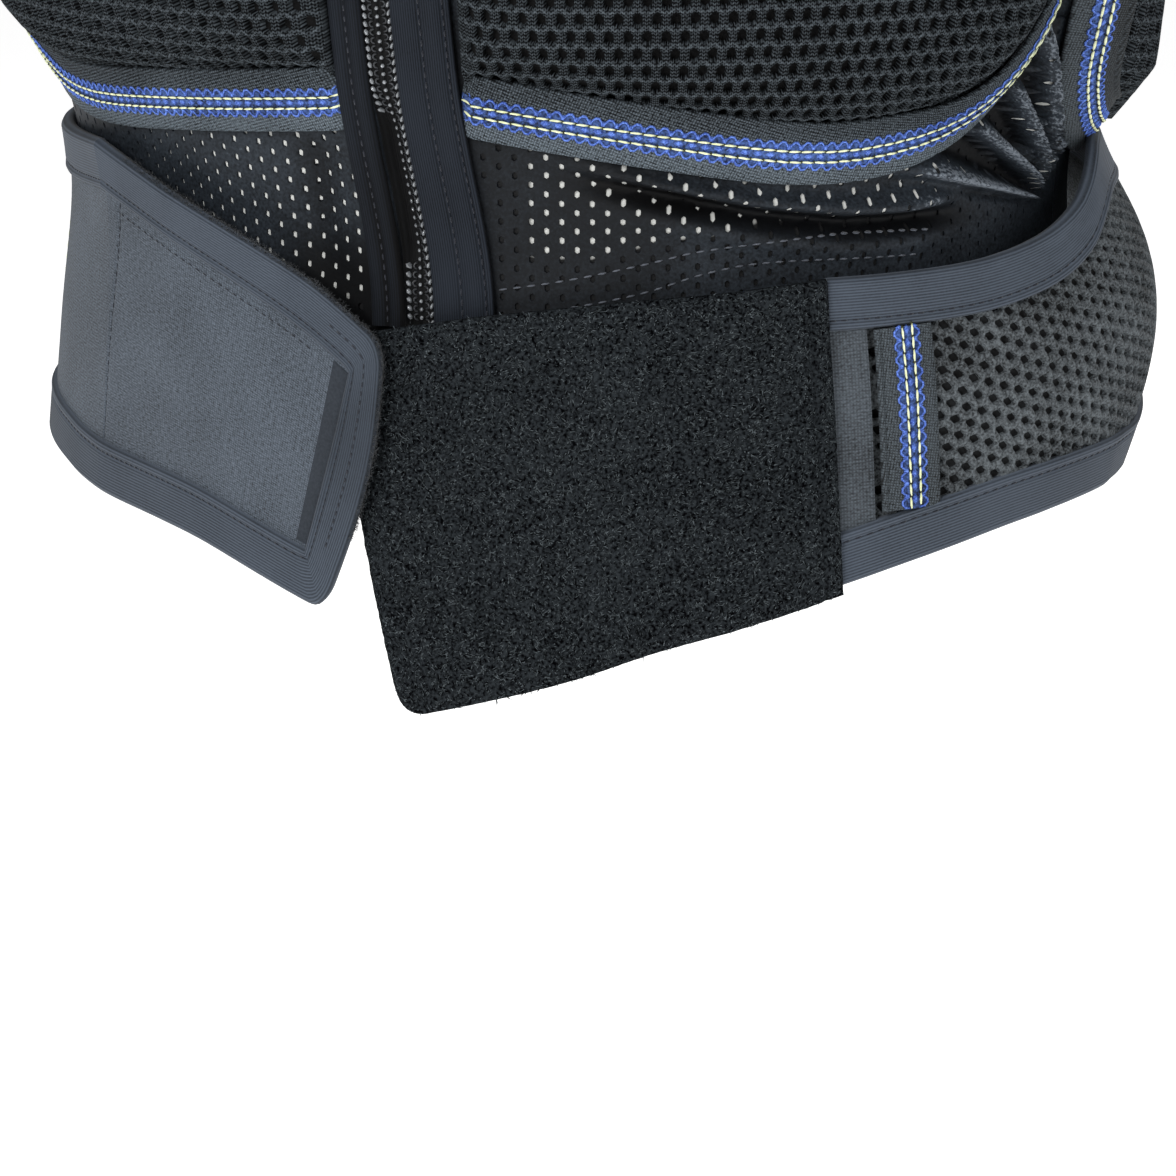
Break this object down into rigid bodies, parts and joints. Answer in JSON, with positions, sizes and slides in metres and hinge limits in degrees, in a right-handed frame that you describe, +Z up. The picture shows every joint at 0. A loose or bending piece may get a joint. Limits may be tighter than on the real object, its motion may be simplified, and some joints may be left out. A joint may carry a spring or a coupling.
{
  "type": "equestrian body protector",
  "caption": "Sleeveless padded riding vest of perforated fabric with foam pads, a front zip and a broad lumbar belt that closes with a hook tab over a loop panel.",
  "frame": {"origin": "middle of the two shoulder seams, where the vest hangs on the wearer's shoulders, on the body's centre line", "axes": "+Z up along the body, -Y out of the front, +X to the wearer's left"},
  "size_m": [0.396, 0.2961, 0.5702],
  "materials": {
    "vest_mesh": "matt perforated polyester",
    "edge_binding": "matt ribbed binding",
    "zip_coil": "glossy coil",
    "zip_facing": "matt stretch fabric",
    "elastic_tape": "woven elastic with a stitched blue band",
    "spacer_mesh": "open honeycomb knit",
    "slate_fabric": "fine matt knit",
    "loop_pile": "fuzzy loop pile",
    "hook_strip": "rough hook tape"
  },
  "bodies": {
    "root": {"vest_front_left": "vest_mesh", "vest_front_right": "vest_mesh", "vest_back_left": "vest_mesh", "vest_back_right": "vest_mesh", "neck_binding_left": "edge_binding", "neck_binding_right": "edge_binding", "armhole_binding_left": "edge_binding", "armhole_binding_right": "edge_binding", "zip_chain_left": "zip_coil", "zip_chain_right": "zip_coil", "zip_slider": "zip_coil", "zip_facing_left": "zip_facing", "zip_facing_right": "zip_facing", "front_tape_left": "elastic_tape", "front_tape_right": "elastic_tape", "side_tape_left": "elastic_tape", "side_tape_right": "elastic_tape", "back_tape": "elastic_tape", "front_pad_left": "spacer_mesh", "front_pad_right": "spacer_mesh", "side_pad_left": "spacer_mesh", "side_pad_right": "spacer_mesh", "back_pad": "spacer_mesh", "belt_wing_left": "spacer_mesh", "belt_wing_right": "spacer_mesh", "belt_back": "spacer_mesh", "belt_end_left": "slate_fabric", "belt_end_right": "slate_fabric", "belt_tape_left": "elastic_tape", "belt_tape_right": "elastic_tape", "belt_binding_top": "edge_binding", "belt_binding_bottom": "edge_binding", "loop_panel": "loop_pile", "hook_tab": "slate_fabric", "hook_tab_binding": "edge_binding", "hook_patch": "hook_strip"}
  },
  "joints": []
}
